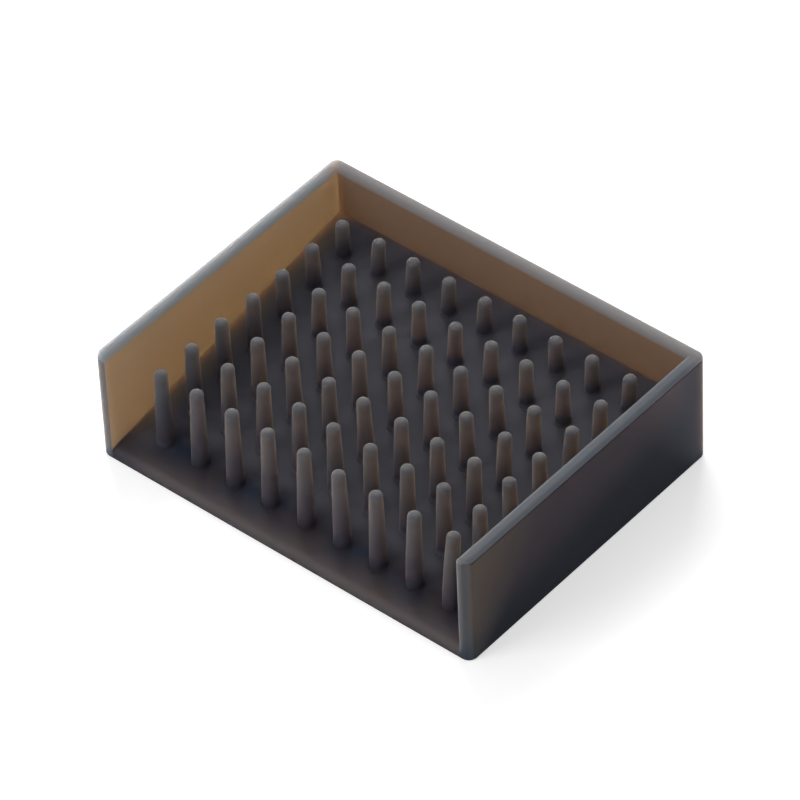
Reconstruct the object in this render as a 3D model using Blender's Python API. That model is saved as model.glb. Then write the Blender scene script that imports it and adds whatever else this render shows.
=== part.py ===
"""Self-draining soap tray, moulded in one piece in soft silicone.

The tray is open at its front. Its floor slopes down to a rounded lip there, and a bed of
tapered pins stands on the floor. All the tips are level, so the pins get shorter towards
the back. The soap lies on the tips, and the water runs off between the pins and over the lip.

The moulding has four regions, and each is a solid of its own: a wall at the left, at the
right and at the back, and the floor with its pins. They meet face to face on flat planes.

The frame has +Z up, the open front towards -Y, and its origin at the middle of the
footprint, on the surface that the tray stands on. All lengths are in metres.
"""
import math

import bmesh
import bpy

MM = 0.001

# Walls
TRAY_WIDTH = 121.5 * MM
TRAY_DEPTH = 94.0 * MM
WALL_HEIGHT = 34.5 * MM
WALL_THICKNESS = 3.5 * MM
# The rim's two long edges are rounded to this radius.
RIM_ROUNDING = 1.1 * MM
# The four outer upright edges, seen from above: two at the back, two at the front ends.
UPRIGHT_ROUNDING = 2.4 * MM
# The top corner at the front of each side wall, seen from the side.
END_CORNER = 2.0 * MM

# Sloping floor
# Height of the floor's plane where it would meet the front edge.
FLOOR_FRONT_HEIGHT = 2.8 * MM
FLOOR_SLOPE = math.radians(10.6)
FLOOR_THICKNESS = 3.0 * MM
# The front edge bends over to the table within this length.
LIP_LENGTH = 2.0 * MM
# The strip under the lip that the tray's front stands on. The rest is hollow underneath.
FOOT_STRIP_DEPTH = 10.0 * MM

# Pin bed
PIN_PITCH = 11.75 * MM
# From the front edge to the first row's axes.
PIN_FRONT_MARGIN = 9.4 * MM
# The least distance from a pin's axis to the wall beside or behind it.
PIN_WALL_MARGIN = 6.0 * MM
PIN_TIP_HEIGHT = 29.3 * MM
PIN_TIP_RADIUS = 1.75 * MM
PIN_TIP_ROUNDING = 1.2 * MM
PIN_DRAFT = math.radians(1.4)
PIN_FOOT_FILLET = 0.35 * MM
# How far a pin reaches down into the floor, so that the two unite.
PIN_ROOT_DEPTH = 0.1 * MM

# Facets
RIM_STEPS = 3
CORNER_STEPS = 8
END_STEPS = 6
LIP_STEPS = 8
PIN_SIDES = 12
PIN_ARC_STEPS = 2
MERGE_DISTANCE = 0.001 * MM
SHARP_ANGLE = math.radians(35.0)

# Planes shared by the walls and the floor
OUTER_HALF_WIDTH = TRAY_WIDTH / 2.0
INNER_HALF_WIDTH = OUTER_HALF_WIDTH - WALL_THICKNESS
FRONT_Y = -TRAY_DEPTH / 2.0
INNER_BACK_Y = -FRONT_Y - WALL_THICKNESS

# Smoke-grey silicone: linear colour, roughness, metallic
SILICONE_FINISH = ((0.070, 0.058, 0.054, 1.0), 0.45, 0.0)


def clear_objects():
    """Remove whatever objects the scene holds."""
    for item in list(bpy.data.objects):
        bpy.data.objects.remove(item, do_unlink=True)


def make_silicone(name):
    """The silicone's plain shader, as one material for each region."""
    colour, roughness, metallic = SILICONE_FINISH
    material = bpy.data.materials.new(name)
    material.use_nodes = True
    shader = material.node_tree.nodes["Principled BSDF"]
    shader.inputs["Base Color"].default_value = colour
    shader.inputs["Roughness"].default_value = roughness
    shader.inputs["Metallic"].default_value = metallic
    return material


def make_object(name, build):
    """Turn a bmesh of closed bodies into a named silicone object, with its faces outward."""
    bmesh.ops.remove_doubles(build, verts=build.verts, dist=MERGE_DISTANCE)
    bmesh.ops.recalc_face_normals(build, faces=build.faces)
    mesh = bpy.data.meshes.new(name)
    build.to_mesh(mesh)
    build.free()
    mesh.shade_smooth()
    mesh.set_sharp_from_angle(angle=SHARP_ANGLE)
    mesh.materials.append(make_silicone(name + "_silicone"))
    item = bpy.data.objects.new(name, mesh)
    bpy.context.scene.collection.objects.link(item)
    return item


def add_loft(build, rings):
    """Join rings of equally many points with faces, and close the first and the last."""
    loops = []
    for ring in rings:
        loops.append([build.verts.new(point) for point in ring])
    count = len(loops[0])
    for near, far in zip(loops, loops[1:]):
        for index in range(count):
            following = (index + 1) % count
            build.faces.new((near[index], near[following], far[following], far[index]))
    build.faces.new(loops[0])
    build.faces.new(loops[-1])


def quarter_angles(steps):
    """Angles from zero to a right angle in equal steps."""
    return [0.5 * math.pi * step / steps for step in range(steps + 1)]


def wall_section(width, height):
    """The wall cut across, as distances from its inner face and heights.

    It runs up the inner face, over the rounded rim and down the outer face. Where the wall
    narrows, the rounding on each side takes at most a third of the width. Round a corner the
    cut is longer than the wall is thick, and the rounding stays that of the straight wall.
    """
    rounding = min(RIM_ROUNDING, width / 3.0, WALL_THICKNESS / 3.0)
    rise = []
    for angle in quarter_angles(RIM_STEPS):
        inward = rounding * (1.0 - math.cos(angle))
        rise.append((inward, height - rounding * (1.0 - math.sin(angle))))
    fall = [(width - inward, level) for inward, level in reversed(rise)]
    return [(0.0, 0.0)] + rise + fall + [(width, 0.0)]


def wall_ring(inner_point, outward, width, height):
    """Place the wall's section at a point of the inner face, looking along the wall."""
    ring = []
    for distance, level in wall_section(width, height):
        x = inner_point[0] + outward[0] * distance
        y = inner_point[1] + outward[1] * distance
        ring.append((x, y, level))
    return ring


def corner_drop(distance):
    """How far the rim has dropped at a distance behind the wall's front end."""
    if distance >= END_CORNER:
        return 0.0
    short = END_CORNER - distance
    return END_CORNER - math.sqrt(END_CORNER ** 2 - short ** 2)


def make_side_wall(name, side):
    """One side wall. Its front end thins in plan along an arc, and its top corner is round.

    side is -1 for the left wall and 1 for the right one.
    """
    inner_x = side * INNER_HALF_WIDTH
    outward = (side, 0.0)
    rings = []
    for angle in quarter_angles(END_STEPS):
        distance = UPRIGHT_ROUNDING * (1.0 - math.cos(angle))
        width = WALL_THICKNESS - UPRIGHT_ROUNDING * (1.0 - math.sin(angle))
        height = WALL_HEIGHT - corner_drop(distance)
        rings.append(wall_ring((inner_x, FRONT_Y + distance), outward, width, height))
    rings.append(wall_ring((inner_x, INNER_BACK_Y), outward, WALL_THICKNESS, WALL_HEIGHT))
    build = bmesh.new()
    add_loft(build, rings)
    return make_object(name, build)


def corner_outline():
    """A back corner's outside as distances across and along from its crisp inner edge.

    It runs from beside that edge, round the outer rounding, to behind it.
    """
    flat = WALL_THICKNESS - UPRIGHT_ROUNDING
    outline = [(WALL_THICKNESS, 0.0)]
    for angle in quarter_angles(CORNER_STEPS):
        across = flat + UPRIGHT_ROUNDING * math.cos(angle)
        along = flat + UPRIGHT_ROUNDING * math.sin(angle)
        outline.append((across, along))
    outline.append((0.0, WALL_THICKNESS))
    return outline


def make_back_wall():
    """The back wall with both corners. Each corner turns about the crisp inner edge."""
    rings = []
    for across, along in corner_outline():
        reach = math.hypot(across, along)
        outward = (-across / reach, along / reach)
        point = (-INNER_HALF_WIDTH, INNER_BACK_Y)
        rings.append(wall_ring(point, outward, reach, WALL_HEIGHT))
    for across, along in reversed(corner_outline()):
        reach = math.hypot(across, along)
        outward = (across / reach, along / reach)
        point = (INNER_HALF_WIDTH, INNER_BACK_Y)
        rings.append(wall_ring(point, outward, reach, WALL_HEIGHT))
    build = bmesh.new()
    add_loft(build, rings)
    return make_object("back_wall", build)


def floor_height(y):
    """Height of the floor's upper plane at a distance along the tray."""
    return FLOOR_FRONT_HEIGHT + math.tan(FLOOR_SLOPE) * (y - FRONT_Y)


def underside_height(y):
    """Height of the plate's lower plane, one thickness square below the upper one."""
    return floor_height(y) - FLOOR_THICKNESS / math.cos(FLOOR_SLOPE)


def lip_profile():
    """The front edge from the table to the floor's plane.

    A quadratic curve that starts upright at the table and ends along the slope. Its middle
    control point is where the floor's plane would meet the front edge.
    """
    start = (FRONT_Y, 0.0)
    middle = (FRONT_Y, floor_height(FRONT_Y))
    end = (FRONT_Y + LIP_LENGTH, floor_height(FRONT_Y + LIP_LENGTH))
    points = []
    for step in range(LIP_STEPS + 1):
        t = step / LIP_STEPS
        weights = ((1.0 - t) ** 2, 2.0 * t * (1.0 - t), t ** 2)
        y = sum(w * p[0] for w, p in zip(weights, (start, middle, end)))
        z = sum(w * p[1] for w, p in zip(weights, (start, middle, end)))
        points.append((y, z))
    return points


def floor_profile():
    """The floor cut along the tray: lip, slope, hollow underside and foot strip."""
    strip_y = FRONT_Y + FOOT_STRIP_DEPTH
    profile = lip_profile()
    profile.append((INNER_BACK_Y, floor_height(INNER_BACK_Y)))
    profile.append((INNER_BACK_Y, underside_height(INNER_BACK_Y)))
    profile.append((strip_y, underside_height(strip_y)))
    profile.append((strip_y, 0.0))
    return profile


def pin_radius(height):
    """Radius of a pin's tapered body at a height above the table."""
    return PIN_TIP_RADIUS + math.tan(PIN_DRAFT) * (PIN_TIP_HEIGHT - height)


def pin_rings(x, y):
    """The pin's rings from foot to tip.

    The foot's fillet follows the slope of the floor. The body tapers to the tip, whose edge
    is rounded. The lowest ring lies a little below the floor.
    """
    foot = pin_radius(floor_height(y))
    levels = []
    for angle in quarter_angles(PIN_ARC_STEPS):
        radius = foot + PIN_FOOT_FILLET * (1.0 - math.sin(angle))
        levels.append((radius, PIN_FOOT_FILLET * (1.0 - math.cos(angle)), False))
    levels[0] = (levels[0][0], -PIN_ROOT_DEPTH, False)
    shoulder = PIN_TIP_HEIGHT - PIN_TIP_ROUNDING
    for angle in quarter_angles(PIN_ARC_STEPS):
        radius = pin_radius(shoulder) - PIN_TIP_ROUNDING * (1.0 - math.cos(angle))
        levels.append((radius, shoulder + PIN_TIP_ROUNDING * math.sin(angle), True))
    rings = []
    for radius, level, is_tip in levels:
        ring = []
        for side in range(PIN_SIDES):
            turn = 2.0 * math.pi * side / PIN_SIDES
            across = x + radius * math.cos(turn)
            along = y + radius * math.sin(turn)
            base = 0.0 if is_tip else floor_height(along)
            ring.append((across, along, base + level))
        rings.append(ring)
    return rings


def pin_places():
    """Axes of the pins: as many columns and rows as the pitch allows on the floor."""
    across = 2.0 * (INNER_HALF_WIDTH - PIN_WALL_MARGIN)
    along = INNER_BACK_Y - PIN_WALL_MARGIN - (FRONT_Y + PIN_FRONT_MARGIN)
    columns = int(across // PIN_PITCH) + 1
    rows = int(along // PIN_PITCH) + 1
    first_x = -0.5 * PIN_PITCH * (columns - 1)
    first_y = FRONT_Y + PIN_FRONT_MARGIN
    places = []
    for row in range(rows):
        for column in range(columns):
            places.append((first_x + column * PIN_PITCH, first_y + row * PIN_PITCH))
    return places


def make_pin_bed():
    """All pins as one guide, which the floor takes in."""
    build = bmesh.new()
    for x, y in pin_places():
        add_loft(build, pin_rings(x, y))
    guide = make_object("pin_bed_guide", build)
    guide.hide_render = True
    guide.display_type = "WIRE"
    return guide


def make_drain_floor():
    """The sloping floor with its lip and foot strip, united with the pins."""
    profile = floor_profile()
    rings = []
    for x in (-INNER_HALF_WIDTH, INNER_HALF_WIDTH):
        rings.append([(x, y, z) for y, z in profile])
    build = bmesh.new()
    add_loft(build, rings)
    plate = make_object("drain_floor", build)
    union = plate.modifiers.new("pins", "BOOLEAN")
    union.operation = "UNION"
    union.solver = "EXACT"
    union.object = make_pin_bed()
    return plate


def main():
    """Build the tray."""
    clear_objects()
    make_side_wall("left_wall", -1.0)
    make_side_wall("right_wall", 1.0)
    make_back_wall()
    make_drain_floor()


main()
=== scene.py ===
# %% [markdown]
# # A self-draining soap tray in smoke-grey silicone
#
# The real tray is one soft moulding. A wall stands round three sides, the floor slopes down
# to a rounded lip at the open front, and a bed of tapered pins stands on the floor with
# every tip at the same height.
#
# The solid model gives the sizes. This lesson makes the fine skin that stands for it: one
# closed mesh, worked out with arrays, and the translucent silicone that covers it.

# %% Load the frame
import math

import bmesh
import bpy
import numpy as np
from mathutils import Matrix, Vector


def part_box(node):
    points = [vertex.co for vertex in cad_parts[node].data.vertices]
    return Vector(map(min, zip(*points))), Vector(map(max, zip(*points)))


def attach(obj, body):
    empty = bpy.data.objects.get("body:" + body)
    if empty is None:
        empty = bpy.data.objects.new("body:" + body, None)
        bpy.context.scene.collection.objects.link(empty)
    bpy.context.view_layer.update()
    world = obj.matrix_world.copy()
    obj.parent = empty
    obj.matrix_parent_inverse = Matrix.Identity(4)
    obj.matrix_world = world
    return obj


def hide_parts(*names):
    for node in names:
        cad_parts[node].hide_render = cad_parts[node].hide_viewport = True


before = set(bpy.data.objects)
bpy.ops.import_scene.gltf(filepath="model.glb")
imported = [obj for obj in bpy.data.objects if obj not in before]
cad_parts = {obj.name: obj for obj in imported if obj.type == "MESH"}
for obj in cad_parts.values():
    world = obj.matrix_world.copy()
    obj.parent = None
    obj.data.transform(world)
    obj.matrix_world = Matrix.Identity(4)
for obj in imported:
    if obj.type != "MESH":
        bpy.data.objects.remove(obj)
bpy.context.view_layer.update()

# %% [markdown]
# ## Sizes
#
# Whatever the solids can tell is read from their boxes: the wall's thickness, the planes
# where the walls meet the floor, the rim and the pins' tips. The curves that a box can't
# tell are written as real sizes in the cells that first need them, the same ones that the
# solids were made with. A few fine edges belong to the skin alone, because the solids leave
# them out, and the text names those.

# %% Sizes read from the solids
MM = 0.001
left_low, left_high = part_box("left_wall")
floor_low, floor_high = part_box("drain_floor")
WALL = left_high.x - left_low.x
INNER_X = floor_high.x
FRONT_Y = floor_low.y
BACK_Y = floor_high.y
RIM_Z = left_high.z
TIP_Z = floor_high.z
print(f"wall {WALL / MM:.2f} mm thick, rim at {RIM_Z / MM:.2f} mm, tips at {TIP_Z / MM:.2f} mm")

# %% [markdown]
# ## The floor's height
#
# The floor is a plane that rises towards the back. At the front it bends over to the table
# in a quadratic curve: upright at the table, and along the slope where it meets the plane.
# The height is a function of the distance from the front edge alone, so every point of the
# floor, the coves and the pins' feet can ask for it.

# %% Floor height
FLOOR_FRONT = 2.8 * MM
FLOOR_SLOPE = math.radians(10.6)
FLOOR_RISE = math.tan(FLOOR_SLOPE)
LIP_LENGTH = 2.0 * MM


def floor_z(y):
    """Height of the floor at y.

    On the plane it is the front height plus the rise times the run. On the lip the curve's
    own parameter is the square root of run over length, and the height is the quadratic
    through the table, the plane's front height and the plane at the lip's end.
    """
    run = np.maximum(y - FRONT_Y, 0.0)
    t = np.sqrt(np.clip(run / LIP_LENGTH, 0.0, 1.0))
    lip = 2.0 * t * (1.0 - t) * FLOOR_FRONT + t * t * (FLOOR_FRONT + FLOOR_RISE * LIP_LENGTH)
    return np.where(run < LIP_LENGTH, lip, FLOOR_FRONT + FLOOR_RISE * run)


print(f"floor rises to {float(floor_z(BACK_Y)) / MM:.2f} mm at the back")

# %% [markdown]
# ## Shared lines
#
# A skin without cracks needs neighbouring patches to end on the same points. So the floor,
# the walls and the underside all read their places from two lists: one of x and one of y.
# Round the pins both lists step a tenth of the pitch, because each pin sits in a square cell
# whose edge is cut into tenths. On the lip the steps follow the curve, close together at
# the front edge where it turns upright. The floor stops a little short of the walls, to
# leave room for a cove on the skin alone.

# %% Lists of x and y
PIN_COLUMNS = 9
PIN_ROWS = 7
PIN_PITCH = 11.75 * MM
PIN_FRONT_MARGIN = 9.4 * MM
CELL_STEPS = 10
LIP_STEPS = 12
MARGIN_STEPS = 4
COVE = 0.3 * MM

pin_x = (np.arange(PIN_COLUMNS) - (PIN_COLUMNS - 1) / 2.0) * PIN_PITCH
pin_y = FRONT_Y + PIN_FRONT_MARGIN + np.arange(PIN_ROWS) * PIN_PITCH
cell_x = pin_x[0] + PIN_PITCH * (np.arange(PIN_COLUMNS * CELL_STEPS + 1) / CELL_STEPS - 0.5)
cell_y = pin_y[0] + PIN_PITCH * (np.arange(PIN_ROWS * CELL_STEPS + 1) / CELL_STEPS - 0.5)

side_steps = np.linspace(cell_x[-1], INNER_X - COVE, MARGIN_STEPS)
xs = np.concatenate([[-INNER_X], -side_steps[::-1], cell_x[1:-1], side_steps, [INNER_X]])

lip_turn = np.linspace(0.0, math.sqrt((cell_y[0] - FRONT_Y) / LIP_LENGTH), LIP_STEPS + 1)
lip_y = FRONT_Y + LIP_LENGTH * lip_turn ** 2
back_steps = np.linspace(cell_y[-1], BACK_Y - COVE, MARGIN_STEPS)
ys = np.concatenate([lip_y[:-1], cell_y[:-1], back_steps, [BACK_Y]])
print(PIN_COLUMNS * PIN_ROWS, "pins;", len(xs), "by", len(ys), "lines")

# %% [markdown]
# ## Patches
#
# Each patch is a grid of points, and its faces join neighbours in the grid. The faces are
# worked out from the points' numbers alone, so one function serves flat strips, the wall's
# section carried round its path, and rings round a pin, which close on themselves.

# %% Collecting patches
points = []
faces = []


def add_grid(grid, closed=False):
    """Add one or many grids, an array of (..., rows, columns, 3), and their four-sided faces.

    closed joins the last column to the first, as a ring needs.
    """
    rows, columns = grid.shape[-3:-1]
    flat = grid.reshape(-1, 3)
    start = sum(len(block) for block in points)
    number = np.arange(len(flat)).reshape(-1, rows, columns) + start
    ahead = np.roll(number, -1, axis=2) if closed else number[:, :, 1:]
    here = number if closed else number[:, :, :-1]
    quads = np.stack([here[:, :-1], ahead[:, :-1], ahead[:, 1:], here[:, 1:]], axis=-1)
    points.append(flat)
    faces.append(quads.reshape(-1, 4))
    return len(flat)


def sheet(x, y, z):
    """A patch over rows of y and columns of x, at heights z given for every point."""
    return np.stack(np.broadcast_arrays(x, y, z), axis=-1)


# %% [markdown]
# ## The pin bed
#
# This is the part that takes the most skill. Every pin owns a square cell of the floor. The
# cell is one grid in polar form: the columns go round the pin, and the rows run from the
# cell's square edge inward over the floor, up the fillet at the foot, up the tapered body
# and over the rounded tip to its middle. The square and the circle use the same turns, so
# the rows change from one to the other, and the cells join edge to edge.
#
# All the tips are level and the floor slopes, so a pin's length depends on its row. The foot
# follows the slope and the top is level: the body's rings go from one to the other. A soft
# pin is never quite straight, so each leans a little, and most of them the same way. The
# last pin of the front row leans most.

# %% Turns round a pin
PIN_TIP_RADIUS = 1.75 * MM
PIN_TAPER = math.tan(math.radians(1.4))
AROUND = 4 * CELL_STEPS
turn = np.arange(AROUND) / AROUND


def square_wave(q):
    """Across a square's edge: 1 along one side, -1 along the opposite one, straight between.

    It is 2 minus 8 times the distance from q to the nearest whole number, kept within 1.
    """
    return np.clip(2.0 - 8.0 * np.abs(q - np.round(q)), -1.0, 1.0)


def pin_radius(z):
    """The body's radius: the tip's, and the taper times the distance below the tip."""
    return PIN_TIP_RADIUS + PIN_TAPER * (TIP_Z - z)


circle = np.stack([np.cos(2.0 * np.pi * turn), np.sin(2.0 * np.pi * turn)])
square = np.stack([square_wave(turn), square_wave(turn - 0.25)])
print(AROUND, "turns round a pin, which is", round(2.0 * pin_radius(TIP_Z) / MM, 2), "mm thick at its tip")

# %% Skirt and fillet of every pin at once
SKIRT_ROWS = 4
FILLET_ROWS = 4
PIN_FILLET = 0.35 * MM
PIN_TIP_ROUNDING = 1.2 * MM

shoulder = TIP_Z - PIN_TIP_ROUNDING
centre_y, centre_x = (a.reshape(-1, 1, 1) for a in np.meshgrid(pin_y, pin_x, indexing="ij"))
foot_z = floor_z(centre_y)
foot_radius = pin_radius(foot_z)
outer_radius = foot_radius + PIN_FILLET

share = np.linspace(1.0, 0.0, SKIRT_ROWS + 1)[None, :, None]
skirt_x = centre_x + share * PIN_PITCH / 2.0 * square[0] + (1.0 - share) * outer_radius * circle[0]
skirt_y = centre_y + share * PIN_PITCH / 2.0 * square[1] + (1.0 - share) * outer_radius * circle[1]
skirt = sheet(skirt_x, skirt_y, floor_z(skirt_y))

angle = np.linspace(0.0, np.pi / 2.0, FILLET_ROWS + 1)[1:][None, :, None]
fillet_radius = foot_radius + PIN_FILLET * (1.0 - np.sin(angle))
fillet_y = centre_y + fillet_radius * circle[1]
fillet_z = floor_z(fillet_y) + PIN_FILLET * (1.0 - np.cos(angle))
fillet = sheet(centre_x + fillet_radius * circle[0], fillet_y, fillet_z)
print("skirt and fillet rings:", skirt.shape[1] + fillet.shape[1])

# %% Lean of every pin
LEAN_SEED = 7
LEAN_MEAN = (0.38 * MM, 0.0)
LEAN_SPREAD = 0.22 * MM
LAST_PIN = PIN_COLUMNS - 1
LAST_PIN_LEAN = (1.0 * MM, 0.6 * MM)

random = np.random.default_rng(LEAN_SEED)
lean_x, lean_y = (
    mean + random.normal(0.0, LEAN_SPREAD, centre_x.shape) for mean in LEAN_MEAN
)
lean_x[LAST_PIN] = LAST_PIN_LEAN[0]
lean_y[LAST_PIN] = LAST_PIN_LEAN[1]
print(f"most lean: {np.hypot(lean_x, lean_y).max() / MM:.2f} mm at the tip")

# %% Body and tip of every pin
BODY_ROWS = 8
TIP_ROWS = 6
LEAN_POWER = 1.6

up = np.linspace(0.0, 1.0, BODY_ROWS + 1)[1:][None, :, None]
middle_z = foot_z + PIN_FILLET + up * (shoulder - foot_z - PIN_FILLET)
body_radius = pin_radius(middle_z)
bend = up ** LEAN_POWER
body_y = centre_y + body_radius * circle[1]
body_z = (1.0 - up) * (floor_z(body_y) + PIN_FILLET) + up * shoulder
body = sheet(centre_x + body_radius * circle[0] + bend * lean_x, body_y + bend * lean_y, body_z)

over = np.linspace(0.0, np.pi / 2.0, TIP_ROWS + 1)[1:][None, :, None]
tip_radius = pin_radius(shoulder) - PIN_TIP_ROUNDING * (1.0 - np.cos(over))
tip_radius = np.concatenate([tip_radius, tip_radius[:, -1:] / 2.0, np.zeros((1, 1, 1))], axis=1)
tip_z = shoulder + PIN_TIP_ROUNDING * np.sin(over)
tip_z = np.concatenate([tip_z, np.full((1, 2, 1), TIP_Z)], axis=1)
tip_x = centre_x + lean_x + tip_radius * circle[0]
tip_y = centre_y + lean_y + tip_radius * circle[1]
tip = sheet(tip_x, tip_y, tip_z)

pins = np.concatenate([skirt, fillet, body, tip], axis=1)
print("pin bed:", pins.shape[0], "pins,", add_grid(pins, closed=True), "points")

# %% [markdown]
# ## Floor margins and lip
#
# Between the cells and the walls the floor is plain. Three strips fill it, and the lip's
# strip runs the whole width at the front. A small cove softens the line where the floor
# meets the wall. It shrinks to nothing at the front edge, so that the lip's corner is crisp.

# %% Margins
WELD = 0.002 * MM


def cove_share(y):
    """How much of the cove's size is left at y: none at the front edge, all behind the lip."""
    run = np.clip((y - FRONT_Y) / LIP_LENGTH, 0.0, 1.0)
    return run * (2.0 - run)


def add_floor(x, y):
    """A plain piece of floor. Its outermost columns keep to the coves' edges."""
    x_grid, y_grid = np.meshgrid(x, y)
    edge = INNER_X - COVE * cove_share(y_grid)
    at_cove = np.abs(x_grid) > INNER_X - COVE - WELD
    x_grid = np.where(at_cove, np.sign(x_grid) * edge, x_grid)
    return add_grid(sheet(x_grid, y_grid, floor_z(y_grid)))


inside = xs[1:-1]
added = add_floor(inside, lip_y)
added += add_floor(inside, back_steps)
added += add_floor(-side_steps[::-1], cell_y)
added += add_floor(side_steps, cell_y)
print("floor margins:", added, "points")

# %% [markdown]
# ## The wall
#
# The wall is one section carried along a path: up the left side, round the back and down
# the right side. The section starts on the cove, climbs the inner face, goes over the
# rounded rim and down the outer face to the foot. Just below the rim the mould's parting
# line leaves a fine groove, which only the skin has.
#
# At a back corner the section turns about the crisp inner edge and reaches out to the
# rounded outside, so there its width changes from station to station. What lies on the
# tray's side of that edge, the cove, keeps to the corner's mitre. At the front end the wall
# thins along an arc of the same rounding, and the rim drops: in a wide quarter circle on
# the outside, and in a tight one on the inside, where the real corner is nearly crisp.

# %% The path
UPRIGHT_ROUNDING = 2.4 * MM
CORNER_STEPS = 12
arc = np.linspace(0.0, np.pi / 2.0, CORNER_STEPS + 1)
flat = WALL - UPRIGHT_ROUNDING
across = np.concatenate([[WALL], flat + UPRIGHT_ROUNDING * np.cos(arc), [0.0]])
along = across[::-1]
reach = np.hypot(across, along)
side_y = ys[:-1]


def stations(base_x, base_y, outward, inward, width=WALL):
    """Points of the inner face along one stretch, the ways out and in, and the wall's width."""
    count = np.broadcast(base_x, base_y, outward[0]).size
    row = [base_x, base_y, *outward, *inward, width]
    return np.stack([np.broadcast_to(value, count).astype(float) for value in row], axis=1)


path = np.concatenate([
    stations(-INNER_X, side_y, (-1.0, 0.0), (1.0, 0.0)),
    stations(-INNER_X, BACK_Y, (-across / reach, along / reach), (1.0, -1.0), reach),
    stations(inside, BACK_Y, (0.0, 1.0), (0.0, -1.0)),
    stations(INNER_X, BACK_Y, (along / reach, across / reach), (-1.0, -1.0), reach),
    stations(INNER_X, side_y[::-1], (1.0, 0.0), (-1.0, 0.0)),
])
base_x, base_y = path[:, 0:1], path[:, 1:2]
run = base_y - FRONT_Y
print("the wall's path has", len(path), "stations")

# %% Width and height along the path
RIM_ROUNDING = 1.1 * MM
END_CORNER = 2.0 * MM
INNER_CORNER = 0.9 * MM
PARTING_DEPTH = 0.2 * MM

end_run = np.clip(UPRIGHT_ROUNDING - run, 0.0, UPRIGHT_ROUNDING)
width = path[:, 6:7] - UPRIGHT_ROUNDING + np.sqrt(UPRIGHT_ROUNDING ** 2 - end_run ** 2)


def rim_height(corner):
    """The rim's height: level, and at the front end a quarter circle of the given radius."""
    corner_run = np.clip(corner - run, 0.0, corner)
    return RIM_Z - corner + np.sqrt(corner ** 2 - corner_run ** 2)


third = width / 3.0
rounding = np.minimum(RIM_ROUNDING, third)
groove = PARTING_DEPTH * np.clip(run / UPRIGHT_ROUNDING, 0.0, 1.0)
print(f"the wall is {width.min() / MM:.2f} to {width.max() / MM:.2f} mm wide along its path")

# %% The section
COVE_ROWS = 5
RIM_ROWS = 7
FACE_ROWS = 9
FOOT_ROWS = 4
FOOT_EDGE = 0.3 * MM
PARTING_HALF_WIDTH = 0.18 * MM

quarter = np.linspace(0.0, np.pi / 2.0, RIM_ROWS)[None, :]
cove_turn = np.linspace(0.0, np.pi / 2.0, COVE_ROWS)[None, :]
foot_turn = np.linspace(0.0, np.pi / 2.0, FOOT_ROWS)[None, :]
climb = np.linspace(0.0, 1.0, FACE_ROWS + 2)[None, 1:-1]

cove = COVE * cove_share(base_y)
cove_u = -cove * (1.0 - np.sin(cove_turn))
cove_y = base_y - cove_u * path[:, 5:6]
cove_z = floor_z(cove_y) + cove * (1.0 - np.cos(cove_turn))
inner_rim_z = rim_height(INNER_CORNER) - rounding * (1.0 - np.sin(quarter))
outer_rim_z = rim_height(END_CORNER) - rounding * (1.0 - np.sin(quarter[:, ::-1]))
rim_u = rounding * (1.0 - np.cos(quarter))
inner_z = cove_z[:, -1:] + climb * (inner_rim_z[:, :1] - cove_z[:, -1:])
groove_z = outer_rim_z[:, -1:] - PARTING_HALF_WIDTH * np.array([[1.0, 2.0]])
groove_u = width - groove * np.array([[1.0, 0.0]])
foot_edge = np.minimum(FOOT_EDGE, third)
foot_z_row = foot_edge * (1.0 - np.sin(foot_turn))
outer_z = groove_z[:, -1:] + climb * (foot_edge - groove_z[:, -1:])
foot_u = width - foot_edge * (1.0 - np.cos(foot_turn))
zero = np.zeros_like(width)
print(f"groove {float(RIM_Z - groove_z.max()) / MM:.2f} mm below the rim")

# %% Join the section's stretches
section_u = np.concatenate([
    cove_u, zero * climb, rim_u, width - rim_u[:, ::-1],
    groove_u, width + zero * climb, foot_u, zero,
], axis=1)
section_z = np.concatenate([
    cove_z, inner_z, inner_rim_z, outer_rim_z,
    groove_z, outer_z, foot_z_row, zero,
], axis=1)
print("the section has", section_u.shape[1], "points")

# %% Carry the section along the path
way_x = np.where(section_u > 0.0, path[:, 2:3], -path[:, 4:5])
way_y = np.where(section_u > 0.0, path[:, 3:4], -path[:, 5:6])
wall = sheet(base_x + section_u * way_x, base_y + section_u * way_y, section_z)
print("wall:", add_grid(wall), "points")

# %% [markdown]
# ## Underside
#
# Underneath, the tray stands on a strip below the lip and on the walls. Behind the strip it
# is hollow, as such mouldings are, so that the floor is an even plate. The underside could
# be left open, as no picture shows it, but the glow needs a closed solid.

# %% Underside
FOOT_STRIP = 10.0 * MM
PLATE_DROP = 3.0 * MM / math.cos(FLOOR_SLOPE)

strip_row = int(np.argmin(np.abs(ys - FRONT_Y - FOOT_STRIP)))
strip_y = ys[: strip_row + 1]
hollow_y = ys[strip_row:]
strip_x, strip_rows = np.meshgrid(xs, strip_y)
strip_x[0, 1] = -INNER_X
strip_x[0, -2] = INNER_X
added = add_grid(sheet(strip_x, strip_rows, 0.0))

roof_x, roof_y = np.meshgrid(xs, hollow_y)
added += add_grid(sheet(roof_x, roof_y, floor_z(roof_y) - PLATE_DROP))

level = np.array([[0.0], [1.0]])
strip_back_z = float(floor_z(ys[strip_row])) - PLATE_DROP
added += add_grid(sheet(xs[None, :], ys[strip_row], level * strip_back_z))
back_z = float(floor_z(BACK_Y)) - PLATE_DROP
added += add_grid(sheet(xs[None, :], BACK_Y, level * back_z))
for side in (-INNER_X, INNER_X):
    added += add_grid(sheet(side, hollow_y[None, :], level * (floor_z(hollow_y) - PLATE_DROP)))
print("underside:", added, "points")

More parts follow.
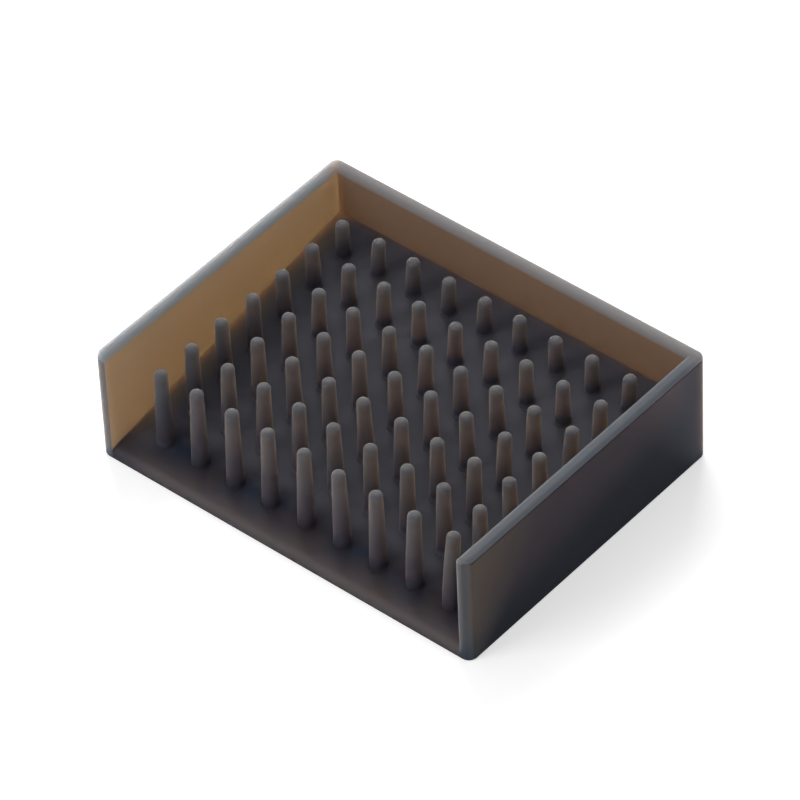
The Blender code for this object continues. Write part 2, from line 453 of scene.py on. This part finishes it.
# %% [markdown]
# ## Weld
#
# The patches share their edges point for point, so merging doubles leaves one skin that is
# open only at the front ends of the two side walls. Each of these is closed with one narrow
# face. A closed skin has exactly two faces on every edge, and that is counted here. Its
# volume is positive when the faces look outward.
#
# The curved parts are shaded smooth, and the crisp edges kept sharp. Large flat faces keep
# their own direction through a Weighted Normal modifier, so that the roundings next to them
# don't bend the light on them.
#
# Four meshes, one for each solid, would also do, but then the glow would stop at the planes
# between them. The real tray has no such planes.

# %% One mesh
tray_mesh = bpy.data.meshes.new("tray_moulding")
tray_mesh.from_pydata(np.concatenate(points), [], np.concatenate(faces))
weld = bmesh.new()
weld.from_mesh(tray_mesh)
bmesh.ops.remove_doubles(weld, verts=weld.verts, dist=WELD)
open_rings = [edge for edge in weld.edges if edge.is_boundary]
ends = bmesh.ops.holes_fill(weld, edges=open_rings, sides=len(open_rings))["faces"]
bmesh.ops.recalc_face_normals(weld, faces=weld.faces)
open_edges = sum(1 for edge in weld.edges if len(edge.link_faces) != 2)
volume = weld.calc_volume(signed=True) / (10.0 * MM) ** 3
print(len(weld.faces), "faces,", len(ends), "ends closed,", open_edges, "open edges,",
      round(volume, 1), "cubic centimetres")
weld.to_mesh(tray_mesh)
weld.free()

# %% Shading of the skin
SHARP_ANGLE = math.radians(38.0)
EVEN_WEIGHT = 50

tray_mesh.shade_smooth()
tray_mesh.set_sharp_from_angle(angle=SHARP_ANGLE)
tray = bpy.data.objects.new("tray_moulding", tray_mesh)
bpy.context.scene.collection.objects.link(tray)
flatten = tray.modifiers.new("flat_faces", "WEIGHTED_NORMAL")
flatten.keep_sharp = True
flatten.weight = EVEN_WEIGHT
print(tray.name, "has", len(tray_mesh.vertices), "points")

# %% [markdown]
# ## Shader arithmetic
#
# A material's numbers are easier to read as sums than as boxes and wires. `Reading` wraps
# one output socket, and adding, taking or multiplying adds the Math node that does it. Any
# other node comes from `Nodes.add`: its settings are set first, then its sockets.

# %% A small language for nodes
class Reading:
    """One output socket of a node tree, with arithmetic."""

    def __init__(self, nodes, socket):
        self.nodes = nodes
        self.socket = socket

    def math(self, operation, first, second=0.0, third=0.0):
        return self.nodes.add("ShaderNodeMath", {"operation": operation}, {0: first, 1: second, 2: third})

    def __add__(self, other):
        return self.math("ADD", self, other)

    __radd__ = __add__

    def __sub__(self, other):
        return self.math("SUBTRACT", self, other)

    def __rsub__(self, other):
        return self.math("SUBTRACT", other, self)

    def __mul__(self, other):
        return self.math("MULTIPLY", self, other)

    __rmul__ = __mul__

    def __truediv__(self, other):
        return self.math("DIVIDE", self, other)

    def __abs__(self):
        return self.math("ABSOLUTE", self)

    def at_least(self, limit):
        return self.math("MAXIMUM", self, limit)

    def at_most(self, limit):
        return self.math("MINIMUM", self, limit)

    def between(self, low, high):
        """0 at low and 1 at high, kept within those, with soft ends; low may be the larger."""
        return self.nodes.add(
            "ShaderNodeMapRange", {"interpolation_type": "SMOOTHSTEP"}, {0: self, 1: low, 2: high}
        )


class Nodes:
    """Adds nodes to one material and reads them."""

    def __init__(self, material):
        material.use_nodes = True
        self.tree = material.node_tree
        self.tree.nodes.clear()

    def add(self, kind, settings=None, inputs=None, output=0):
        """Add a node, set it up, then give its sockets their values or links."""
        node = self.tree.nodes.new(kind)
        for name, value in (settings or {}).items():
            setattr(node, name, value)
        for name, value in (inputs or {}).items():
            if isinstance(value, Reading):
                self.tree.links.new(value.socket, node.inputs[name])
            else:
                node.inputs[name].default_value = value
        return Reading(self, node.outputs[output]) if node.outputs else None

    def mix(self, share, first, second):
        """A colour between two others."""
        return self.add("ShaderNodeMix", {"data_type": "RGBA"}, {0: share, 6: first, 7: second}, 2)


print("readings can be added, taken, multiplied, divided and mixed")

# %% [markdown]
# ## Smoke-grey silicone
#
# The real material is silicone with a little smoke-grey pigment. Light that falls on it
# comes back faint and grey, because most of it sinks in. Light that comes through a thin
# wall is brown, because blue is held back most. A subsurface shader does both: the base
# colour is what comes back, and the radius is how far each colour gets. It works on closed
# solids, so thick parts stay dark and thin walls and rounded edges glow by themselves.
#
# One base colour all over would give the right stuff but too even a tray. The real one looks nearly black
# deep in the floor, smoky on the pins and pale on its rims, partly through the light on it. So each region
# has a base colour of its own, and soft masks lead from one to the next; several of these colours are
# painted light and shade, named where they stand. The masks are measured from the tray itself: how far a
# point lies behind the front edge, how high above the floor, and how far inside a wall.

# %% Measures on the tray
MOTTLE = {"Scale": 90.0, "Detail": 3.0}
GRAIN = {"Scale": 2600.0, "Detail": 2.0}

silicone = bpy.data.materials.new("smoke_silicone")
nodes = Nodes(silicone)
place = nodes.add("ShaderNodeTexCoord", output="Object")
x, y, z = (nodes.add("ShaderNodeSeparateXYZ", {}, {"Vector": place}, axis) for axis in "XYZ")
behind = y - FRONT_Y
plane = FLOOR_FRONT + FLOOR_RISE * behind
height = z - plane
from_left = x + INNER_X
beyond = (abs(x) - INNER_X).at_least(y - BACK_Y)
on_wall = (beyond + COVE).between(0.0, COVE)
at_back = (y - BACK_Y).between(-COVE, 0.0)
mottle = nodes.add("ShaderNodeTexNoise", {}, {"Vector": place, **MOTTLE})
grain = nodes.add("ShaderNodeTexNoise", {}, {"Vector": place, **GRAIN})
print("nodes for the measures:", len(nodes.tree.nodes))

# %% [markdown]
# ### The floor
#
# The floor is the thickest part and the darkest. Its pigment isn't stirred quite evenly, so a soft noise
# leads between two near blacks. At the lip the silicone thins to an edge, and there it is painted lighter
# and warmer, as glow of light through the edge. Away from the edge, and next to the left wall nearer the
# front too, less light gets in, and a lighter base there is painted light that keeps the floor a dark
# grey. A warm band next to the left wall is painted light from the wall's brown glow, and near that wall
# the lip's glow fades as painted shade. Each range names where its mask begins and where it is full.

# %% Floor
THICK_COLOUR = (0.015, 0.021, 0.042, 1.0)
WARM_COLOUR = (0.026, 0.021, 0.030, 1.0)
# Painted light: a lighter base further in and near the left wall, where less light reaches the floor.
FAR_COLOUR = (0.083, 0.080, 0.098, 1.0)
# Painted light: a warm band next to the left wall, where the wall's brown glow falls.
WALL_GLOW_COLOUR = (0.200, 0.168, 0.140, 1.0)
# Painted glow: the lip lighter and warmer, as light through its thin edge.
LIP_GLOW_COLOUR = (0.110, 0.090, 0.092, 1.0)
WARM_RANGE = (0.4, 0.6)
FAR_RUN = (9.0 * MM, 18.0 * MM)
SIDE_FAR_RUN = (2.0 * MM, 9.0 * MM)
SIDE_FAR_WIDTH = (16.0 * MM, 6.0 * MM)
BESIDE_RUN = (2.0 * MM, 18.0 * MM)
BESIDE_WIDTH = (9.0 * MM, 0.0)
LIP_RUN = (-FLOOR_FRONT, 11.0 * MM)
# Painted shade: near the left wall the lip's glow fades, in that wall's shade.
WALL_SHADE_WIDTH = (20.0 * MM, 0.0)
WALL_SHADE_SHARE = 0.6

deep_colour = nodes.mix(mottle.between(*WARM_RANGE), THICK_COLOUR, WARM_COLOUR)
side_far = from_left.between(*SIDE_FAR_WIDTH) * behind.between(*SIDE_FAR_RUN)
far = behind.between(*FAR_RUN).at_least(side_far)
far_colour = nodes.mix(far, deep_colour, FAR_COLOUR)
wall_glow = from_left.between(*BESIDE_WIDTH) * behind.between(*BESIDE_RUN)
wall_glow_colour = nodes.mix(wall_glow, far_colour, WALL_GLOW_COLOUR)
from_lip = (behind + height.at_most(0.0)).between(*LIP_RUN)
lip_wall_shade = from_lip.at_least(WALL_SHADE_SHARE * from_left.between(*WALL_SHADE_WIDTH))
floor_colour = nodes.mix(lip_wall_shade, LIP_GLOW_COLOUR, wall_glow_colour)
print("nodes with the floor:", len(nodes.tree.nodes))

# %% [markdown]
# ### The pins
#
# A pin is painted dark at its foot, as shade where it stands among the others, and a lighter smoke grey
# towards its tip, as painted light. The noise shifts that change a little from pin to pin. The crown, the
# top few millimetres of a pin, takes a slightly darker grey, and the last cells mix a pale plain shader
# over it: painted sheen.

# %% Pins
# Painted shade at the feet and painted light towards the tips.
FOOT_COLOUR = (0.037, 0.036, 0.052, 1.0)
TIP_COLOUR = (0.048, 0.057, 0.075, 1.0)
CROWN_COLOUR = (0.042, 0.048, 0.062, 1.0)
FOOT_RANGE = (0.02, 0.12)
BODY_RANGE = (0.05, 0.9)
BODY_SHIFT = 0.1
CROWN_HEIGHT = 4.5 * MM

tall = height / (TIP_Z - plane) + BODY_SHIFT * (mottle - 0.5)
foot_colour = nodes.mix(tall.between(*FOOT_RANGE), floor_colour, FOOT_COLOUR)
body_colour = nodes.mix(tall.between(*BODY_RANGE), foot_colour, TIP_COLOUR)
crown = z.between(TIP_Z - CROWN_HEIGHT, TIP_Z) * (1.0 - on_wall)
pin_colour = nodes.mix(crown, body_colour, CROWN_COLOUR)
print("nodes with the pins:", len(nodes.tree.nodes))

# %% [markdown]
# ### The wall's two faces
#
# Light comes through the wall and leaves by the face that looks into the tray, so that face takes a light
# base colour, which is painted light, and the glow makes it brown. On the back wall that base is darker,
# painted shade, and near the front end it is lighter, painted glow where the wall thins. The face that
# looks outward is dark grey, painted darkest low down, below the floor inside, as shade where no light
# comes through. Near the wall's ends light also enters sideways, and further up it reaches further along,
# so a lighter patch of painted light widens towards the rim, lighter still at the back corners. The
# parting line is a thin dark seam. Within the wall's thickness one colour passes into the other.

# %% Inner faces
# Painted light on the inner faces, lighter still near the front end; painted shade on the back wall.
INNER_COLOUR = (0.128, 0.130, 0.111, 1.0)
BACK_SHADE_COLOUR = (0.108, 0.088, 0.078, 1.0)
THIN_GLOW_COLOUR = (0.140, 0.130, 0.118, 1.0)
THIN_RUN = (0.3 * MM, UPRIGHT_ROUNDING)
FACE_FOOT = (-0.5 * MM, 0.3 * MM)

lit_colour = nodes.mix(behind.between(*THIN_RUN), THIN_GLOW_COLOUR, INNER_COLOUR)
through_colour = nodes.mix(at_back, lit_colour, BACK_SHADE_COLOUR)
inner_colour = nodes.mix(height.between(*FACE_FOOT), floor_colour, through_colour)
print("nodes with the inner faces:", len(nodes.tree.nodes))

# %% Outer faces
# Painted shade: the outer face darkest below the floor inside.
LOW_SHADE_COLOUR = (0.004, 0.006, 0.016, 1.0)
OUTER_COLOUR = (0.019, 0.018, 0.030, 1.0)
# Painted light: lighter near the front ends, lighter still near the back corners.
NEAR_END_COLOUR = (0.039, 0.040, 0.043, 1.0)
NEAR_CORNER_COLOUR = (0.056, 0.058, 0.078, 1.0)
SEAM_COLOUR = (0.006, 0.006, 0.009, 1.0)
LOW_RANGE = (-4.0 * MM, 14.0 * MM)
CORNER_RANGE = (-10.0 * MM, 20.0 * MM)
EDGE_GLOW = 9.0 * MM
EDGE_GLOW_RISE = 0.85
EDGE_RANGE = (1.0, 0.1)
SEAM_RANGE = (0.3 * MM, 0.1 * MM)
FACE_RANGE = (0.3 * MM, WALL)

end_distance = behind.at_most(BACK_Y + WALL - y)
near_end = (end_distance / (EDGE_GLOW + EDGE_GLOW_RISE * z)).between(*EDGE_RANGE)
open_colour = nodes.mix(height.between(*LOW_RANGE), LOW_SHADE_COLOUR, OUTER_COLOUR)
edge_colour = nodes.mix(y.between(*CORNER_RANGE), NEAR_END_COLOUR, NEAR_CORNER_COLOUR)
outer_colour = nodes.mix(near_end, open_colour, edge_colour)
seam = abs(z - (RIM_Z - RIM_ROUNDING - PARTING_HALF_WIDTH)).between(*SEAM_RANGE)
face_colour = nodes.mix(seam, outer_colour, SEAM_COLOUR)
side_colour = nodes.mix(beyond.between(*FACE_RANGE), inner_colour, face_colour)
print("nodes with the outer faces:", len(nodes.tree.nodes))

# %% [markdown]
# ### Rims and front ends
#
# The rounded rim and the narrow front ends are painted a pale, cool grey: painted sheen and glow where the
# edges catch the light. The rim's mask follows the rounding: it starts lower on the inner edge, where the
# change to brown is quick. The left, back and right rims differ a little, since light comes through the
# first and only falls on the others: lit and shaded copies of one colour, with the right rim painted
# darker as shade. On the left end the change from brown to pale grey is wider, painted light from the
# left.

# %% Front ends
# Painted sheen and glow: the pale front ends.
END_COLOUR = (0.115, 0.135, 0.155, 1.0)
END_RUN = (0.8 * UPRIGHT_ROUNDING, 0.0)
END_EDGE = 0.4 * MM
LEFT_END_GLOW_EDGE = 1.4 * MM
END_DEPTH = 0.3 * MM
END_FACE = (0.0, 0.2 * MM)

# Painted light: on the left end the band from brown to pale grey is wider.
end_edge = END_EDGE + LEFT_END_GLOW_EDGE * (0.0 - x).between(0.0, COVE)
turned = behind.between(*END_RUN) * (beyond / end_edge).between(0.0, 1.0)
end = turned.at_least((END_DEPTH - behind).between(*END_FACE))
end_colour = nodes.mix(end, side_colour, END_COLOUR)
print("nodes with the front ends:", len(nodes.tree.nodes))

# %% Rims
# Painted sheen and glow on the rims; the right rim is painted darker as shade.
RIM_COLOUR = (0.128, 0.192, 0.250, 1.0)
BACK_RIM_COLOUR = (0.180, 0.190, 0.205, 1.0)
RIGHT_RIM_SHADE_COLOUR = (0.100, 0.115, 0.130, 1.0)
INSIDE_RANGE = (0.6 * WALL, 0.3 * WALL)
INSIDE_DROP = 0.8 * RIM_ROUNDING
OUTSIDE_RISE = 0.3 * RIM_ROUNDING
INSIDE_RISE = 0.6 * RIM_ROUNDING
RIGHT_RUN = (0.0, 7.0 * MM)
BACK_TURN = (-7.0 * MM, 1.0 * MM)

inside_rim = beyond.between(*INSIDE_RANGE)
rim_low = RIM_Z - RIM_ROUNDING - INSIDE_DROP * inside_rim
rim = ((z - rim_low) / (OUTSIDE_RISE + INSIDE_RISE * inside_rim)).between(0.0, 1.0)
on_right = (x - INNER_X).between(-COVE, 0.0)
right_shade = on_right * (BACK_Y - y).between(*RIGHT_RUN)
side_rim_colour = nodes.mix(on_right, RIM_COLOUR, RIGHT_RIM_SHADE_COLOUR)
rim_colour = nodes.mix((y - BACK_Y).between(*BACK_TURN), side_rim_colour, BACK_RIM_COLOUR)
wall_colour = nodes.mix(rim, end_colour, rim_colour)
colour = nodes.mix(beyond.between(-COVE, 0.0), pin_colour, wall_colour)
print("nodes with the rims:", len(nodes.tree.nodes))

# %% [markdown]
# ### A plain shader over clear silicone
#
# On rims, ends and the pins' crowns a plain shader is mixed over the subsurface one, in a share given by
# the same masks, so that those edges don't light up in brown. On the rims and crowns it is a pale cool
# grey: painted sheen where they catch the light. On the ends it is nearly black, which dims their glow. A
# larger share on the right wall's rim and front end, away from the back corner, is painted shade that
# makes them darker than the left ones. Both are satin, with a faint sheen and a fine moulded grain in the
# bump.

# %% Share of the dull skin
SKIN_COLOUR = (0.022, 0.030, 0.045, 1.0)
# Painted sheen: the pale grey of the rims and the pins' crowns.
LIT_SKIN_COLOUR = (0.100, 0.117, 0.143, 1.0)
RIM_SKIN = 0.45
END_SKIN = 0.48
# Painted shade: a larger share on the right rim and the right front end.
RIGHT_SHADE_SKIN = 0.27
RIGHT_END_SHADE_SKIN = 1.15
CROWN_SKIN = 0.4

wall_skin = (RIM_SKIN * rim).at_least(END_SKIN * end) * on_wall
right_shade_skin = RIGHT_SHADE_SKIN * right_shade * rim.at_least(RIGHT_END_SHADE_SKIN * end)
skin = wall_skin + CROWN_SKIN * crown + right_shade_skin
skin_colour = nodes.mix((rim * on_wall).at_least(crown), SKIN_COLOUR, LIT_SKIN_COLOUR)
print("nodes with the dull skin:", len(nodes.tree.nodes))

# %% Shaders
GLOW_RADIUS = (0.0215, 0.0171, 0.0135)
SHEEN_LEVEL = 0.08
ROUGHNESS = 0.5
ROUGHNESS_SPREAD = 0.06
GRAIN_STRENGTH = 0.25
GRAIN_HEIGHT = 0.03 * MM

satin = {
    "Roughness": ROUGHNESS + ROUGHNESS_SPREAD * mottle,
    "Specular IOR Level": SHEEN_LEVEL,
    "Normal": nodes.add("ShaderNodeBump", {}, {
        "Strength": GRAIN_STRENGTH, "Distance": GRAIN_HEIGHT, "Height": grain,
    }),
}
clear = nodes.add("ShaderNodeBsdfPrincipled", {"subsurface_method": "RANDOM_WALK"}, {
    "Base Color": colour,
    "Subsurface Weight": 1.0,
    "Subsurface Radius": GLOW_RADIUS,
    "Subsurface Scale": 1.0,
    **satin,
})
dull = nodes.add("ShaderNodeBsdfPrincipled", {}, {"Base Color": skin_colour, **satin})
surface = nodes.add("ShaderNodeMixShader", {}, {0: skin, 1: clear, 2: dull})
nodes.add("ShaderNodeOutputMaterial", {}, {"Surface": surface})
tray_mesh.materials.append(silicone)
print("silicone:", len(nodes.tree.nodes), "nodes")

# %% [markdown]
# ## The skin's place in the frame
#
# The tray is one body and nothing on it moves, so the skin rides on the root. It stands for
# all four solids at once, because on the real tray they are one moulding.

# %% Tie the skin to the solids
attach(tray, "root")
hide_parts("left_wall", "right_wall", "back_wall", "drain_floor")
print("pieces:", tray.name)

# %% [markdown]
# ## Camera
#
# The view is that of a long lens from above and to the right of the open front. Its angles
# and its place were solved from the tray's straight edges and its rows of pins. Turned by
# hand, a lens this long would show small errors in the angles as a tray of another shape.

# %% Camera
VIEW_YAW = math.radians(-41.8035)
VIEW_PITCH = math.radians(43.6614)
VIEW_ROLL = math.radians(-2.7324)
VIEW_PLACE = Vector((0.78169, -0.87466, 1.13783))
PICTURE_WIDTH = 800
FOCAL_PIXELS = 6442.35
SENSOR_WIDTH = 36.0
FARTHEST = 10.0

ahead = Vector((
    math.sin(VIEW_YAW) * math.cos(VIEW_PITCH),
    math.cos(VIEW_YAW) * math.cos(VIEW_PITCH),
    -math.sin(VIEW_PITCH),
))
level_right = ahead.cross(Vector((0.0, 0.0, 1.0))).normalized()
level_up = level_right.cross(ahead)
right = level_right * math.cos(VIEW_ROLL) + level_up * math.sin(VIEW_ROLL)
upward = level_up * math.cos(VIEW_ROLL) - level_right * math.sin(VIEW_ROLL)

camera_data = bpy.data.cameras.new("camera")
camera_data.sensor_width = SENSOR_WIDTH
camera_data.lens = FOCAL_PIXELS / PICTURE_WIDTH * SENSOR_WIDTH
camera_data.clip_end = FARTHEST
camera = bpy.data.objects.new("camera", camera_data)
bpy.context.scene.collection.objects.link(camera)
axes = Matrix((right, upward, -ahead)).transposed()
camera.matrix_world = Matrix.Translation(VIEW_PLACE) @ axes.to_4x4()
bpy.context.scene.camera = camera
print(f"lens {camera_data.lens:.1f} mm, {VIEW_PLACE.length:.2f} m away")

# %% [markdown]
# ## Light and floor
#
# The tray stands on a plain white surface in a small white studio. A long strip lamp stands
# low at the left, at the height of the walls, and sends its light through them. Two soft
# lamps hang above, one behind and one in front, and a dim world fills the shadows.
#
# The background is white only for rays that bring it into the picture, so it adds no light
# to the tray. The ground does the same with a little glow of its own, which leaves the
# tray's soft shadow on it. It lies a hair below the tray's foot, because two faces in one
# plane would show as flecks.

# %% Lamps
def add_lamp(name, place, aim, width, height, power):
    """A flat lamp at a place, turned towards a point."""
    data = bpy.data.lights.new(name, "AREA")
    data.shape = "RECTANGLE"
    data.size = width
    data.size_y = height
    data.energy = power
    lamp = bpy.data.objects.new(name, data)
    lamp.location = place
    lamp.rotation_euler = (Vector(aim) - Vector(place)).to_track_quat("-Z", "Y").to_euler()
    lamp.visible_camera = False
    bpy.context.scene.collection.objects.link(lamp)
    return lamp


STRIP_PLACE = (-1.99, 0.10, 0.027)
STRIP_AIM = (0.0, 0.0, 0.027)
MIDDLE = (0.0, 0.0, 0.0)

add_lamp("left_lamp", STRIP_PLACE, STRIP_AIM, width=0.6, height=0.045, power=46.0)
add_lamp("back_lamp", (-0.96, 1.08, 1.38), MIDDLE, width=0.8, height=0.8, power=15.0)
add_lamp("front_lamp", (-0.80, -1.60, 1.20), MIDDLE, width=1.0, height=1.0, power=12.5)
print("lamps:", len(bpy.data.lights))


# %% Sky
def picture_rays(nodes):
    """1 for rays that bring the background into the picture: direct, reflected or let through."""
    rays = [nodes.add("ShaderNodeLightPath", output=name) for name in
            ("Is Camera Ray", "Is Glossy Ray", "Is Transmission Ray")]
    return (rays[0] + rays[1] + rays[2]).at_most(1.0)


SKY_LEVEL = 0.5
WHITE = (1.0, 1.0, 1.0, 1.0)
world = bpy.data.worlds.new("studio")
bpy.context.scene.world = world
sky = Nodes(world)
strength = SKY_LEVEL + (1.0 - SKY_LEVEL) * picture_rays(sky)
sky_light = sky.add("ShaderNodeBackground", {}, {"Color": WHITE, "Strength": strength})
sky.add("ShaderNodeOutputWorld", {}, {"Surface": sky_light})
print("the world lights the tray at", SKY_LEVEL)

# %% Ground
GROUND_SIZE = 6.0
GROUND_GAP = 0.02 * MM
GROUND_COLOUR = (0.9, 0.9, 0.9, 1.0)
GROUND_GLOW = 0.45
ground_mesh = bpy.data.meshes.new("ground")
corners = GROUND_SIZE / 2.0 * np.array([(-1, -1, 0), (1, -1, 0), (1, 1, 0), (-1, 1, 0)])
ground_mesh.from_pydata(corners, [], [(0, 1, 2, 3)])
ground = bpy.data.objects.new("ground", ground_mesh)
ground.location.z = -GROUND_GAP
bpy.context.scene.collection.objects.link(ground)
white = bpy.data.materials.new("white_ground")
ground_nodes = Nodes(white)
matt = ground_nodes.add("ShaderNodeBsdfDiffuse", {}, {"Color": GROUND_COLOUR})
seen = picture_rays(ground_nodes)
glow = ground_nodes.add("ShaderNodeEmission", {}, {"Strength": GROUND_GLOW * seen})
both = ground_nodes.add("ShaderNodeAddShader", {}, {0: matt, 1: glow})
ground_nodes.add("ShaderNodeOutputMaterial", {}, {"Surface": both})
ground_mesh.materials.append(white)
print("ground:", GROUND_SIZE, "m square")

# %% Colours as written
bpy.context.scene.view_settings.view_transform = "Standard"
print("view transform:", bpy.context.scene.view_settings.view_transform)
